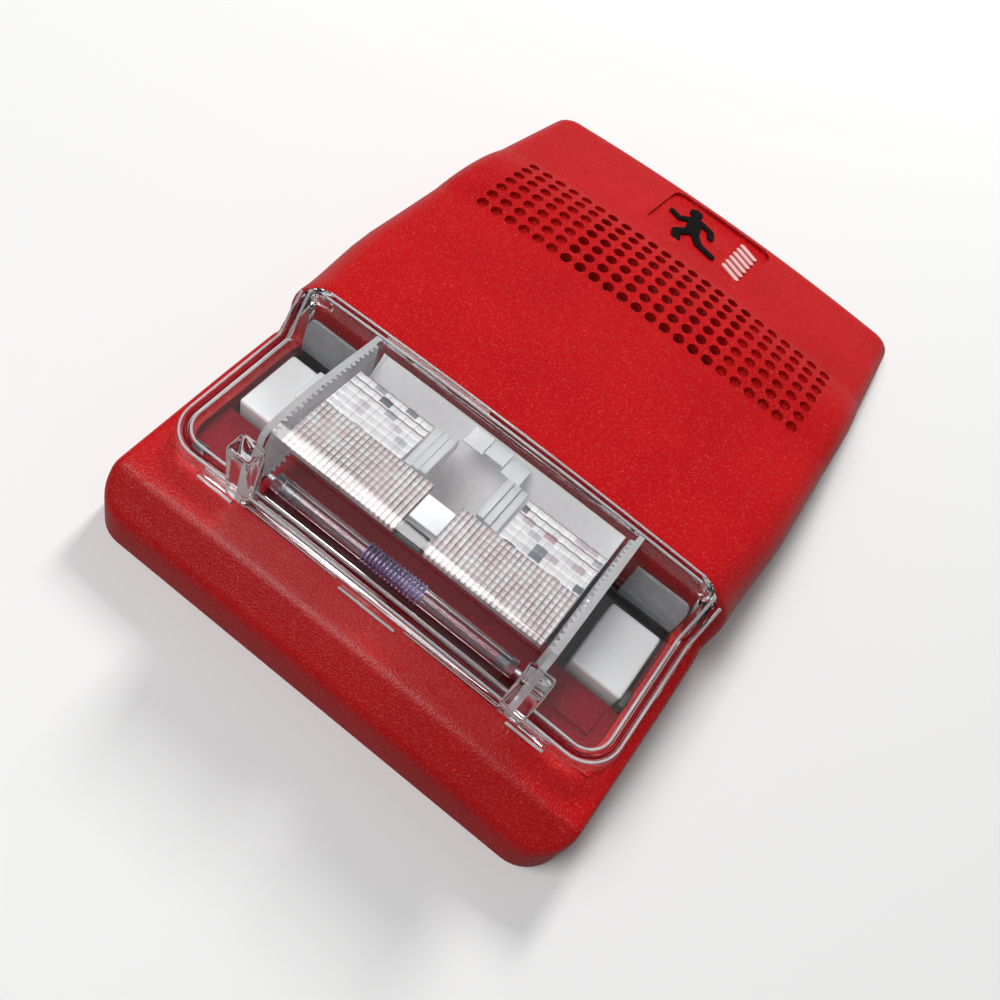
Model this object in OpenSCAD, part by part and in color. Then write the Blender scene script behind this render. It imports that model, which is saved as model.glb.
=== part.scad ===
// Wall horn strobe: red front cover with a sound grille, clear strobe lens at the lower end,
// rear base for a single-gang box with the board, flash tube, reflector and sounder.
// The device lies on its back: X is the width, +Y points to the grille end, +Z out of the wall.
// Places along the length are given as a distance from the lens end.

/* [Body] */
// Length of the body from lens end to grille end
body_length = 165; // [162:0.5:170]
// Width of the body
body_width = 108; // [107.5:0.5:112]
// Radius of the four corners seen from the front
corner_radius = 8; // [6:0.5:10]
// Thickness of the cover wall
wall = 2.2; // [1.8:0.1:2.6]
// Drop of the crowned front from the middle to the sides
crown_drop = 2; // [1.5:0.1:2.5]

/* [Front profile] */
// Height of the upright wall at the lens end
end_wall_height = 9; // [7:0.5:10]
// Where the sloped bevel meets the strip below the lens
bevel_end = 8.2; // [7:0.1:9]
// Height of the strip that the lens stands on
strip_height = 12.5; // [12:0.1:13]
// Where the front steps up behind the lens
step_start = 53.8; // [53.6:0.1:54]
// Highest line of the main face, at the lens
face_height = 26.7; // [26:0.1:27.5]
// Where the bowed grille band starts
crease = 104.3; // [104:0.1:104.6]
// Height of the main face at the crease
crease_height = 19.4; // [19:0.1:20]
// Radius of the bowed grille band along the length
band_radius = 67; // [60:1:80]
// Where the grille band ends
band_end = 131.5; // [131:0.1:133]
// Height of the front at the grille end
far_height = 6.8; // [6:0.1:8]

/* [Grille] */
// Columns of holes across the width
grille_columns = 23; // [21:2:23]
// Rows of holes along the length
grille_rows = 7; // [5:1:7]
// Distance between holes, both ways
grille_pitch = 3.83; // [3.6:0.01:3.85]
// Diameter of one hole
hole_diameter = 2.7; // [2:0.1:2.9]
// First row of holes
first_row = 106.2; // [106:0.1:106.5]
// Columns in the middle that go right through
open_columns = 11; // [7:2:13]
// Depth of the blind holes at the sides
blind_depth = 1.2; // [0.8:0.1:1.4]

/* [Lens] */
// Half of the width over the lens flange
lens_half_width = 50.4; // [49:0.1:50.8]
// Front edge of the lens
lens_front = 16; // [15.5:0.1:16.5]
// Height of the low tray at the sides of the lens
tray_height = 16; // [15.8:0.1:16.2]
// Highest point of the lens
dome_height = 30; // [29.5:0.1:31]
// Half of the width of the tall middle part
dome_half_width = 32; // [31:0.5:33]
// Wall thickness of the lens
lens_wall = 1.6; // [1.2:0.1:1.8]

/* [Base and mounting] */
// Thickness of the base floor
base_floor = 2; // [1.6:0.1:2.4]
// Distance between the two single-gang box screws
gang_spacing = 83.3; // [83.3:0.1:83.4]
// Diameter of the clearance for a box screw
gang_hole = 4.2; // [3.8:0.1:4.6]
// Extra length of a box screw slot
gang_slot = 3; // [2:0.5:4]
// Where the lower box screw goes through the base
lower_gang = 60; // [59.5:0.1:60.5]
// Width of the wiring opening
wiring_width = 46; // [44:1:48]
// Where the wiring opening starts
wiring_start = 66; // [65:0.5:66.5]
// Where the wiring opening ends
wiring_end = 93; // [92:0.5:93]

/* [Electronics] */
// Height of the underside of the circuit board
board_level = 9.4; // [9.2:0.1:9.6]
// Thickness of the circuit board
board_thickness = 1.6; // [1.5:0.1:1.7]
// Diameter of the flash tube
tube_diameter = 3.4; // [3:0.1:3.6]
// Diameter of the flash capacitor
capacitor_diameter = 13; // [12:0.5:13.5]
// Diameter of the sounder case
sounder_diameter = 44; // [42:0.5:44]

/* [Hidden] */
$fn = 48;

half_width = body_width / 2;
crown_radius = pow(half_width, 2) / (2 * crown_drop);
end_wall_slope = 1.5;
face_start = step_start + 1.6;
band_top = crease + 3.5;
band_center = crease_height + 0.1 - band_radius;
gap = 0.4;
board_top = board_level + board_thickness;
inner_plan = wall + gap;

// Moves its children to a place: across, along from the lens end, and up.
module at(x, along, z) {
    translate([x, along - body_length / 2, z]) children();
}

// A box centred across x, from one place along the length to another.
module block(x, from, to, low, high, width) {
    at(x, from, low)
        translate([-width / 2, 0, 0])
            cube([width, to - from, high - low]);
}

// Outline of the body seen from the front, drawn inwards by inset.
module plan(inset) {
    reach = body_length / 2 - inset;
    side = half_width - inset;
    radius = corner_radius - inset;
    square([2 * side, 2 * (reach - radius)], center = true);
    square([2 * (side - radius), 2 * reach], center = true);
    for (x = [-1, 1], y = [-1, 1])
        translate([x * (side - radius), y * (reach - radius)]) circle(radius);
}

// Height of the grille band at a distance along the length.
function band_height(along) = band_center + sqrt(pow(band_radius, 2) - pow(along - band_top, 2));

far_slope = (band_height(band_end) - far_height) / (body_length - band_end);

// Lengthwise profile of the front as [along, height] points. It runs on below the back and past
// both ends, where the outline of the body cuts it off.
function front_profile() = concat(
    [[body_length + 6, -2], [-end_wall_slope / end_wall_height * 2, -2],
        [end_wall_slope, end_wall_height], [bevel_end, strip_height],
        [step_start, strip_height], [face_start, face_height], [crease, crease_height]],
    [for (k = [1 : 6])
        let (along = crease + (band_end - crease) * k / 6) [along, band_height(along)]],
    [[body_length + 6, far_height - 6 * far_slope]]);

// Solid below a lengthwise profile, crowned across the width: the profile is turned about an
// axis far below the device, so every section across it is the same shallow arc.
module crowned(profile) {
    translate([0, 0, -crown_radius])
        rotate([-90, 0, 0])
            rotate([0, 0, -98])
                rotate_extrude(angle = 16, $fn = 360)
                    rotate([0, 0, 90])
                        mirror([0, 1])
                            translate([-body_length / 2, crown_radius])
                                polygon(profile);
}

module front_solid(drop = 0) {
    translate([0, 0, -drop]) crowned(front_profile());
}

// Round post standing on the base floor, with a screw hole from its top.
module post(x, along, top, diameter, hole) {
    difference() {
        at(x, along, 0) cylinder(d = diameter, h = top);
        at(x, along, base_floor + 0.5) cylinder(d = hole, h = top);
    }
}

// Pan-head screw: the underside of the head is at the given height.
module screw(x, along, seat, head, shank, length) {
    at(x, along, seat)
        difference() {
            union() {
                cylinder(d = head, h = 1.6);
                translate([0, 0, -length]) cylinder(d = shank, h = length + 0.1);
            }
            translate([-head, -0.4, 0.9]) cube([2 * head, 0.8, 2]);
            translate([-0.4, -head, 0.9]) cube([0.8, 2 * head, 2]);
        }
}

// Slot with round ends, its long side along the length.
module slot(x, along, length, diameter, height) {
    at(x, along, -0.5) {
        for (side = [-1, 1])
            translate([0, side * length / 2, 0]) cylinder(d = diameter, h = height);
        translate([-diameter / 2, -length / 2, 0]) cube([diameter, length, height]);
    }
}

board_posts = [[-42, 61], [-42, 89], [42, 76], [42, 89]];
sounder_at = 116;
sounder_screw_ring = sounder_diameter / 2 + 2.6;
sounder_ears = [for (angle = [25, 155, 235, 305])
    [sounder_screw_ring * cos(angle), sounder_at + sounder_screw_ring * sin(angle)]];
capacitor_at = [32, 64];
capacitor_level = 12.6;
capacitor_length = 28;
lens_side_wall = dome_half_width - 1.1;
reflector_feet = [-24, 24];
tube_at = 22.4;
tube_level = 16.5;
tube_half = 27;
pocket_floor = 9.5;
icon_half = 14.8;
icon_from = 138.5;
icon_to = 161;
icon_depth = 0.8;
wall_shift = 1.6;

module rear_base() {
    color([0.16, 0.16, 0.17])
    difference() {
        union() {
            linear_extrude(base_floor) plan(inner_plan);
            intersection() {
                difference() {
                    linear_extrude(7) plan(inner_plan);
                    translate([0, 0, 1]) linear_extrude(7) plan(inner_plan + 1.8);
                }
                translate([0, wall_shift + gap, 0]) front_solid(wall + gap);
            }
            for (p = board_posts) post(p[0], p[1], board_level, 7, 3);
            for (p = sounder_ears) post(p[0], p[1], 4, 5, 2.5);
            for (x = [-7, 7])
                difference() {
                    block(capacitor_at[0] + x, capacitor_at[1] - 5, capacitor_at[1] + 5, 1, 9, 2);
                    at(capacitor_at[0] + x - 2, capacitor_at[1], capacitor_level)
                        rotate([0, 90, 0]) cylinder(d = capacitor_diameter + 0.1, h = 4);
                }
            for (x = reflector_feet) block(x, 38, 48, 1, 4.5, 6);
        }
        block(0, wiring_start, wiring_end, -1, 8, wiring_width);
        for (along = [lower_gang, lower_gang + gang_spacing]) slot(0, along, gang_slot, gang_hole, 8);
    }
}

module circuit_board() {
    color([0.05, 0.35, 0.2])
    difference() {
        union() {
            block(0, 72, 92.8, board_level, board_top, 93);
            block(-27.5, 57, 73, board_level, board_top, 38);
            block(3.5, 66.8, 73, board_level, board_top, 27);
        }
        for (p = board_posts) at(p[0], p[1], 0) cylinder(d = 3.4, h = 20);
    }
}

module board_screws() {
    color([0.75, 0.75, 0.77])
    for (p = board_posts) screw(p[0], p[1], board_top, 5.6, 2.9, 6);
}

terminal_at = 81.5;
terminal_pitch = 10;
terminal_places = [-1.5, -0.5, 0.5, 1.5] * terminal_pitch;
terminal_low = 1.2;
terminal_seat = 6.2;

module terminal_block() {
    color([0.1, 0.1, 0.11])
    difference() {
        block(0, 74.5, 88.5, terminal_low, board_level, 41);
        for (x = terminal_places) {
            block(x, 77.5, 85.5, terminal_low - 1, terminal_seat, 7.6);
            at(x, terminal_at, 0) cylinder(d = 3.1, h = board_level - 0.8);
            at(x, 74, 3.4) rotate([-90, 0, 0]) cylinder(d = 3.2, h = 4);
        }
    }
}

module terminal_clamps() {
    color([0.85, 0.75, 0.45])
    for (x = terminal_places)
        difference() {
            block(x, 78.2, 84.8, 5.1, 5.9, 6.6);
            at(x, terminal_at, 0) cylinder(d = 3.8, h = 12);
        }
}

module terminal_screw(index) {
    color([0.8, 0.8, 0.82])
    at(terminal_places[index], terminal_at, 4.7)
        difference() {
            union() {
                translate([0, 0, -2]) cylinder(d = 5.4, h = 2);
                cylinder(d = 3, h = 3.5);
            }
            translate([-4, -0.4, -3]) cube([8, 0.8, 1.8]);
        }
}
module terminal_screw_1() terminal_screw(0);
module terminal_screw_2() terminal_screw(1);
module terminal_screw_3() terminal_screw(2);
module terminal_screw_4() terminal_screw(3);

switch_from = 67.5;
switch_to = 73;
switch_low = 5;
candela_at = -11;
candela_step = 2;
candela_travel = 3 * candela_step;
level_at = 9;
level_travel = 2;

// Slide switch hanging below the board, with the slot of its knob facing the wall.
module slide_switch(x, travel) {
    middle = (switch_from + switch_to) / 2;
    difference() {
        block(x, switch_from, switch_to, switch_low, board_level, travel + 8);
        block(x, middle - 1.4, middle + 1.4, switch_low - 1, 8, travel + 4);
    }
}

// Knob of a slide switch at the low end of its travel.
module slide_knob(x, travel) {
    middle = (switch_from + switch_to) / 2;
    block(x - travel / 2, middle - 1.1, middle + 1.1, 3, 7.6, 3.2);
}

module candela_switch() color([0.12, 0.12, 0.13]) slide_switch(candela_at, candela_travel);
module candela_slider() color([0.9, 0.9, 0.86]) slide_knob(candela_at, candela_travel);
module level_switch() color([0.12, 0.12, 0.13]) slide_switch(level_at, level_travel);
module level_slider() color([0.9, 0.9, 0.86]) slide_knob(level_at, level_travel);

module flash_capacitor() {
    color([0.08, 0.09, 0.12])
    at(capacitor_at[0] - capacitor_length / 2, capacitor_at[1], capacitor_level)
        rotate([0, 90, 0])
            difference() {
                cylinder(d = capacitor_diameter, h = capacitor_length);
                translate([0, 0, 2.4])
                    rotate_extrude()
                        translate([capacitor_diameter / 2 + 0.4, 0]) circle(0.9);
            }
}

module filter_capacitors() {
    color([0.12, 0.14, 0.3])
    for (x = [-35, -25]) at(x, 78.5, board_top) cylinder(d = 8, h = 7.6);
}

inductor_at = [-12, 82];
module inductor_core() {
    color([0.2, 0.2, 0.2])
    at(inductor_at[0], inductor_at[1], board_top) {
        cylinder(d = 12, h = 1.2);
        cylinder(d = 5, h = 7);
        translate([0, 0, 5.8]) cylinder(d = 12, h = 1.2);
    }
}

module inductor_winding() {
    color([0.72, 0.4, 0.2])
    at(inductor_at[0], inductor_at[1], board_top + 1.25)
        difference() {
            cylinder(d = 10.6, h = 4.5);
            translate([0, 0, -1]) cylinder(d = 5.1, h = 8);
        }
}

module trigger_transformer() {
    color([0.85, 0.7, 0.2]) block(-33, 60.5, 68, board_top, 18.5, 9);
}

module control_chips() {
    color([0.07, 0.07, 0.08]) {
        block(6, 79, 85, board_top, board_top + 1.6, 10);
        block(26, 80, 84, board_top, board_top + 1.5, 5);
        block(-20, 61, 66, board_top, board_top + 1.8, 7);
    }
}

module small_components() {
    color([0.6, 0.55, 0.45]) {
        for (k = [0 : 5]) block(2 + 6 * k, 88.5, 89.7, board_top, board_top + 0.6, 2);
        for (k = [0 : 3]) block(12 + 6 * k, 75.5, 76.7, board_top, board_top + 0.6, 2);
        for (k = [0 : 3]) block(-20 + 4 * k, 90, 91.4, board_top, board_top + 0.8, 1.4);
    }
}

bowl_radius = 26;
module reflector() {
    color([0.95, 0.95, 0.95])
    difference() {
        block(0, 26.6, 51.5, base_floor + 0.1, 20.5, 56);
        at(0, 24, 40) rotate([0, 90, 0]) cylinder(r = 22, h = 42, center = true);
        at(0, 36, bowl_radius + 7) sphere(bowl_radius, $fn = 96);
        for (x = [-26, 26]) block(x, 20, 47, 10, 30, 8);
        block(0, 28.2, 50, 1, 4.4, 52);
        for (x = reflector_feet) block(x, 37.9, 48.1, 1, 4.6, 6.2);
    }
}

// The side walls of the lens reach down into two notches of the panel.
module back_panel() {
    color([0.72, 0.72, 0.72])
    difference() {
        union() {
            block(0, 51.9, 53.1, base_floor + 0.1, 18.8, 91);
            block(0, 51.9, 53.1, 18, 23.6, 56);
        }
        for (side = [-1, 1]) block(side * lens_side_wall, 51, 54, 13.6, 30, 3.4);
    }
}

module side_blocks() {
    color([0.93, 0.93, 0.93])
    for (side = [-1, 1])
        difference() {
            block(side * 39.5, 32, 48.5, base_floor + 0.1, 12.3, 11.4);
            block(side * 39.5, 33.5, 47, base_floor - 1, 10.8, 8.4);
        }
}

module flash_tube() {
    color([0.85, 0.85, 0.95], 0.5)
    at(-tube_half, tube_at, tube_level)
        rotate([0, 90, 0])
            difference() {
                cylinder(d = tube_diameter, h = 2 * tube_half);
                translate([0, 0, 1.5]) cylinder(d = tube_diameter - 1.2, h = 2 * tube_half - 3);
            }
}

module tube_electrodes() {
    color([0.6, 0.6, 0.62])
    for (side = [-1, 1])
        at(side * (tube_half + 0.9), tube_at, tube_level)
            rotate([0, 90, 0]) cylinder(d = 1, h = 1.6, center = true);
}

trigger_turns = 15;
trigger_pitch = 0.86;
module trigger_wire() {
    color([0.55, 0.5, 0.6])
    for (turn = [0 : trigger_turns - 1])
        at((turn - (trigger_turns - 1) / 2) * trigger_pitch, tube_at, tube_level)
            rotate([0, 90, 0])
                rotate_extrude()
                    translate([tube_diameter / 2 + 0.22, 0]) circle(0.2, $fn = 16);
}

module tube_holders() {
    color([0.9, 0.9, 0.88])
    for (side = [-1, 1])
        difference() {
            block(side * 24.5, tube_at - 1.7, tube_at + 1.7, base_floor + 0.1, tube_level, 2.4);
            at(side * 24.5 - 2, tube_at, tube_level)
                rotate([0, 90, 0]) cylinder(d = tube_diameter + 0.1, h = 4);
        }
}

sounder_low = base_floor + 0.1;
sounder_top = 9.2;
module sounder_case() {
    color([0.12, 0.12, 0.13])
    difference() {
        union() {
            at(0, sounder_at, sounder_low) cylinder(d = sounder_diameter, h = sounder_top - sounder_low);
            for (p = sounder_ears) at(p[0], p[1], 4.1) cylinder(d = 6.4, h = 1.6);
        }
        at(0, sounder_at, sounder_low + 1.4) cylinder(d = sounder_diameter - 4, h = 20);
        for (p = sounder_ears) {
            at(p[0], p[1], 0) cylinder(d = 3, h = 20);
            at(p[0], p[1], 0) cylinder(d = 5.4, h = 4.1);
        }
    }
}

module sounder_magnet() {
    color([0.3, 0.3, 0.32]) at(0, sounder_at, sounder_low + 1.5) cylinder(d = 13, h = 4.2);
}

module sounder_coil() {
    color([0.75, 0.42, 0.22])
    at(0, sounder_at, sounder_low + 1.5)
        difference() {
            cylinder(d = 19, h = 4);
            translate([0, 0, -1]) cylinder(d = 13.4, h = 8);
        }
}

module sounder_diaphragm() {
    color([0.8, 0.8, 0.8])
    at(0, sounder_at, sounder_top + 0.05) {
        cylinder(d = sounder_diameter - 2, h = 0.3);
        translate([0, 0, -1]) cylinder(d = 8, h = 1.1);
    }
}

module sounder_ring() {
    color([0.12, 0.12, 0.13])
    at(0, sounder_at, sounder_top + 0.4)
        difference() {
            cylinder(d = sounder_diameter, h = 1.2);
            translate([0, 0, -1]) cylinder(d = 20, h = 4);
        }
}

module sounder_gasket() {
    color([0.2, 0.2, 0.2])
    at(0, sounder_at, sounder_top + 1.65)
        difference() {
            cylinder(d = 30, h = 1.6);
            translate([0, 0, -1]) cylinder(d = 24, h = 4);
        }
}

module sounder_screws() {
    color([0.75, 0.75, 0.77])
    for (p = sounder_ears) screw(p[0], p[1], 5.75, 5, 2.4, 3);
}

// Rounded rectangle across the width and along the length, standing at a height.
module rounded_panel(from, to, half, radius, low, high) {
    at(0, (from + to) / 2, low)
        linear_extrude(high - low) {
            square([2 * half, to - from - 2 * radius], center = true);
            square([2 * (half - radius), to - from], center = true);
            for (x = [-1, 1], y = [-1, 1])
                translate([x * (half - radius), y * ((to - from) / 2 - radius)]) circle(radius);
        }
}

// Holes of the grille: the middle columns go through, the outer ones are blind.
module grille_holes() {
    middle = (grille_columns - 1) / 2;
    for (row = [0 : grille_rows - 1], column = [-middle : middle]) {
        along = first_row + row * grille_pitch;
        open = abs(column) <= (open_columns - 1) / 2;
        depth = open ? 2 * wall + 2 : blind_depth;
        drop = crown_drop * pow(column * grille_pitch / half_width, 2);
        at(column * grille_pitch, along, band_height(along) - drop - depth)
            cylinder(d = hole_diameter, h = depth + 2);
    }
}

// Shallow pocket for the symbols, with its floor parallel to the crowned front.
module symbol_pocket() {
    difference() {
        rounded_panel(icon_from, icon_to, icon_half, 3, 2, 20);
        front_solid(icon_depth);
    }
}

module front_cover() {
    color([0.78, 0.08, 0.07])
    difference() {
        union() {
            difference() {
                intersection() {
                    front_solid();
                    linear_extrude(40) plan(0);
                }
                intersection() {
                    translate([0, wall_shift, 0]) front_solid(wall);
                    translate([0, 0, -1]) linear_extrude(40) plan(wall);
                }
            }
            intersection() {
                front_solid();
                block(0, 17, 55, pocket_floor - 2, 14, 97);
            }
        }
        rounded_panel(18.4, 53.5, 47, 5, pocket_floor, 16);
        block(0, 26, 53.5, -1, 14, 66);
        for (side = [-1, 1]) block(side * 39.6, 31, 53.5, -1, 14, 13.4);
        block(0, 20.2, 24.6, -1, 14, 59);
        grille_holes();
        symbol_pocket();
    }
}

// Side view of the outside of the lens tray and its raised rear edge.
function tray_profile() = [[lens_front - 0.4, 8], [lens_front + 0.2, tray_height - 1.2],
    [lens_front + 1.4, tray_height],
    [48.6, tray_height], [49.6, 20], [52.5, 25], [55.2, face_height], [55.2, 8]];

// Side view of the hollow inside the tray.
function tray_hollow() = [[lens_front, 7], [lens_front, tray_height - lens_wall],
    [50, tray_height - lens_wall], [51.1, 19.6], [53.6, 24], [56, 25.2], [56, 7]];

// Side view of the tall middle part of the lens, drawn inwards by inset.
module dome_side(inset) {
    polygon([[17.2 + inset, 10], [17.2 + inset, 14.5], [21 + inset, 28.2 - inset],
        [22.6 + inset, 29.6 - inset], [26, dome_height - inset], [36, dome_height - 0.4 - inset],
        [51, 27.1 - inset], [54.8, 26.4 - inset], [54.8, 10]]);
}

// Extrudes a side view across the width.
module across(half) {
    translate([-half, -body_length / 2, 0])
        rotate([90, 0, 90]) linear_extrude(2 * half) children();
}

end_block_at = 30.6;
prism_top = 27.8;

module strobe_lens() {
    color([0.85, 0.9, 0.95], 0.4)
    difference() {
        union() {
            difference() {
                intersection() {
                    crowned(tray_profile());
                    rounded_panel(lens_front, 70, lens_half_width, 8, 5, 40);
                }
                intersection() {
                    crowned(tray_hollow());
                    rounded_panel(lens_front + lens_wall, 70, lens_half_width - lens_wall, 6.4, 4, 40);
                }
                block(0, 19, 60, 5, 40, 2 * dome_half_width - 4.4);
            }
            difference() {
                across(dome_half_width) dome_side(0);
                across(dome_half_width - 2.2) dome_side(lens_wall);
                block(0, 50, 60, 5, 25, 2 * dome_half_width - 4.4);
                block(0, 17 + lens_wall, 60, 5, 14.2, 2 * dome_half_width + 1);
            }
            for (side = [-1, 1]) block(side * end_block_at, 16.8, 19.6, 13, 28, 5.6);
        }
        front_solid();
    }
}

module prism_optics() {
    color([0.9, 0.93, 0.96], 0.5) {
        for (side = [-1, 1]) {
            block(side * 15.8, 24.6, 34.2, 23, prism_top, 25.4);
            block(side * 19.3, 34.2, 45, 22, prism_top - 1.6, 18.4);
        }
        block(0, 24.6, 26, 25.4, prism_top, 8);
    }
}

// Keeps a flat shape at a place as a thin layer on the floor of the symbol pocket.
module pocket_layer() {
    difference() {
        intersection() {
            at(0, (icon_from + icon_to) / 2, 2) linear_extrude(20) children();
            front_solid(icon_depth - 0.5);
        }
        front_solid(icon_depth);
    }
}

// Round-ended stroke between two points of a flat drawing.
module stroke(from, to, width) {
    reach = norm(to - from);
    translate(from)
        rotate(atan2(to[1] - from[1], to[0] - from[0])) {
            translate([0, -width / 2]) square([reach, width]);
            circle(d = width);
            translate([reach, 0]) circle(d = width);
        }
}

// Running figure, heading towards -X.
module figure_symbol() {
    color([0.06, 0.05, 0.05])
    pocket_layer() {
        translate([-6.8, 6.6]) circle(d = 3.6);
        stroke([-5.4, 2.9], [-4.1, -2.4], 4);
        stroke([-6.3, 2.8], [-9, -0.3], 1.7);
        stroke([-9, -0.3], [-11.6, 0.9], 1.6);
        stroke([-4.2, 3.8], [-0.7, 2.6], 1.9);
        stroke([-0.7, 2.6], [0.4, 0], 1.8);
        stroke([-4.6, -3], [-7, -6.9], 2.3);
        stroke([-7, -6.9], [-5.8, -9.6], 2.3);
        stroke([-3.4, -2.6], [-0.6, -6.4], 2.1);
        stroke([-0.6, -6.4], [3.8, -7.6], 1.9);
    }
}

// Row of slanted bars beside the figure.
module bars_symbol() {
    color([0.95, 0.75, 0.75])
    pocket_layer()
        for (k = [0 : 5])
            stroke([7.6, 2.75 * k - 7.2], [12, 2.75 * k - 9.4], 1.4);
}

rear_base();
circuit_board();
board_screws();
terminal_block();
terminal_clamps();
terminal_screw_1();
terminal_screw_2();
terminal_screw_3();
terminal_screw_4();
candela_switch();
candela_slider();
level_switch();
level_slider();
flash_capacitor();
filter_capacitors();
inductor_core();
inductor_winding();
trigger_transformer();
control_chips();
small_components();
reflector();
back_panel();
side_blocks();
flash_tube();
tube_electrodes();
trigger_wire();
tube_holders();
sounder_case();
sounder_magnet();
sounder_coil();
sounder_diaphragm();
sounder_ring();
sounder_gasket();
sounder_screws();
front_cover();
strobe_lens();
prism_optics();
figure_symbol();
bars_symbol();
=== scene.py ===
# Horn strobe lying on its back: red cover with a grille, clear strobe lens, rear base and its works
import math
import bpy
import bmesh
from mathutils import Matrix, Vector


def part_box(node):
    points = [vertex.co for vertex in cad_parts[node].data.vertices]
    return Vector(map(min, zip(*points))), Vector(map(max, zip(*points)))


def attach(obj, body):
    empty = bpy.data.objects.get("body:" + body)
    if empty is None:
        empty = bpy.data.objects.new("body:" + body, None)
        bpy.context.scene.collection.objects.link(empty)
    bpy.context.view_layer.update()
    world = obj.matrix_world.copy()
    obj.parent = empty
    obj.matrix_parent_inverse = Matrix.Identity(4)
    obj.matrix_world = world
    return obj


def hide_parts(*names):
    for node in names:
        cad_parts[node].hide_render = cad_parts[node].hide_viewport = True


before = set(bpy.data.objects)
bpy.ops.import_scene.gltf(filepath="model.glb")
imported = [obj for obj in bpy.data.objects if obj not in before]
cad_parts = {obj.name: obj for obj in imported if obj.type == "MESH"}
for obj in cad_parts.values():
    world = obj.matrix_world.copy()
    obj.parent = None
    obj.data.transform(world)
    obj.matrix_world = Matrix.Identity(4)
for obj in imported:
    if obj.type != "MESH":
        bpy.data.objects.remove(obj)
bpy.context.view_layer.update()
mm = 0.001
coverLow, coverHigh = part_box("front_cover")
lensEnd = coverLow.y                       # every place along the length counts from here, in mm
halfWidth = coverHigh.x / mm


def yAt(s):
    return lensEnd + s * mm


def sAt(y):
    return (y - lensEnd) / mm


def ramp(table, value):
    # straight lines between the (place, value) pairs of a table
    for (a, va), (b, vb) in zip(table, table[1:]):
        if value <= b:
            return va + (vb - va) * max(0.0, (value - a) / (b - a))
    return table[-1][1]


def aim(obj, target, roll=0.0):
    # turns a camera or lamp at the origin of its data to face a point
    back = (obj.location - target).normalized()
    right = Vector((0, 0, 1)).cross(back).normalized()
    up = back.cross(right)
    c, s = math.cos(roll), math.sin(roll)
    x, y = right * c + up * s, up * c - right * s
    obj.rotation_euler = Matrix((x, y, back)).transposed().to_euler()


# camera and light
cameraSettings = {"lens": 35.57, "target": (3.15, -24.79, 0.0), "away": (23.59, -107.9, 174.05), "roll": 27.14}
camData = bpy.data.cameras.new("camera")
camData.lens = cameraSettings["lens"]
camData.clip_start = 0.01
camData.clip_end = 20
camera = bpy.data.objects.new("camera", camData)
bpy.context.scene.collection.objects.link(camera)
target = Vector(cameraSettings["target"]) * mm
camera.location = target + Vector(cameraSettings["away"]) * mm
aim(camera, target, math.radians(cameraSettings["roll"]))
bpy.context.scene.camera = camera

lampSettings = [
    # name, place (m), aimed at (m), size (m), watts, colour, makes highlights
    ("overheadSoft", (-0.27, -0.22, 0.86), (0, 0, 0), 0.46, 4.4, (1.0, 0.99, 0.98), True),
    ("backKey", (-0.18, 0.86, 0.54), (0, 0, 0), 0.20, 8.6, (1.0, 0.99, 0.98), False),
]
for name, place, at, size, watts, colour, highlights in lampSettings:
    lamp = bpy.data.lights.new(name, "AREA")
    lamp.shape = "SQUARE"
    lamp.size = size
    lamp.energy = watts
    lamp.color = colour
    lampObject = bpy.data.objects.new(name, lamp)
    bpy.context.scene.collection.objects.link(lampObject)
    lampObject.location = place
    lampObject.visible_glossy = highlights
    aim(lampObject, Vector(at))
world = bpy.data.worlds.new("studio")
bpy.context.scene.world = world
world.use_nodes = True
world.node_tree.nodes["Background"].inputs["Color"].default_value = (0.97, 0.98, 1.0, 1)
# the room is bright behind the clear lens and dim in the reflections, as with white walls and dark flags
roomSettings = {"soft": 0.22, "reflected": 0.08, "through": 0.95, "seen": 0.98}
tree = world.node_tree
path = tree.nodes.new("ShaderNodeLightPath")
level = roomSettings["soft"]
rays = (("Is Glossy Ray", "reflected"), ("Is Transmission Ray", "through"), ("Is Camera Ray", "seen"))
for ray, label in rays:
    choose = tree.nodes.new("ShaderNodeMapRange")
    tree.links.new(path.outputs[ray], choose.inputs["Value"])
    if isinstance(level, float):
        choose.inputs["To Min"].default_value = level
    else:
        tree.links.new(level, choose.inputs["To Min"])
    choose.inputs["To Max"].default_value = roomSettings[label]
    level = choose.outputs["Result"]
tree.links.new(level, tree.nodes["Background"].inputs["Strength"])
bpy.context.scene.view_settings.view_transform = "Standard"
print("camera and lamps ready")


# materials
def newGroup(name, inputs, outputs):
    group = bpy.data.node_groups.new(name, "ShaderNodeTree")
    for label, value in inputs:
        socket = group.interface.new_socket(label, in_out="INPUT", socket_type="NodeSocketFloat")
        socket.default_value = value
    for label, kind in outputs:
        group.interface.new_socket(label, in_out="OUTPUT", socket_type=kind)
    return group, group.nodes.new("NodeGroupInput"), group.nodes.new("NodeGroupOutput")


def mathNode(tree, operation, a, b=None):
    node = tree.nodes.new("ShaderNodeMath")
    node.operation = operation
    for slot, value in zip(node.inputs, (a, b)):
        if value is None:
            continue
        if isinstance(value, (int, float)):
            slot.default_value = value
        else:
            tree.links.new(value, slot)
    return node.outputs[0]


def noiseNode(tree, vector, scale, detail=2.0, rough=0.5):
    node = tree.nodes.new("ShaderNodeTexNoise")
    tree.links.new(vector, node.inputs["Vector"])
    if isinstance(scale, (int, float)):
        node.inputs["Scale"].default_value = scale
    else:
        tree.links.new(scale, node.inputs["Scale"])
    node.inputs["Detail"].default_value = detail
    node.inputs["Roughness"].default_value = rough
    return node.outputs["Fac"]


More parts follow.
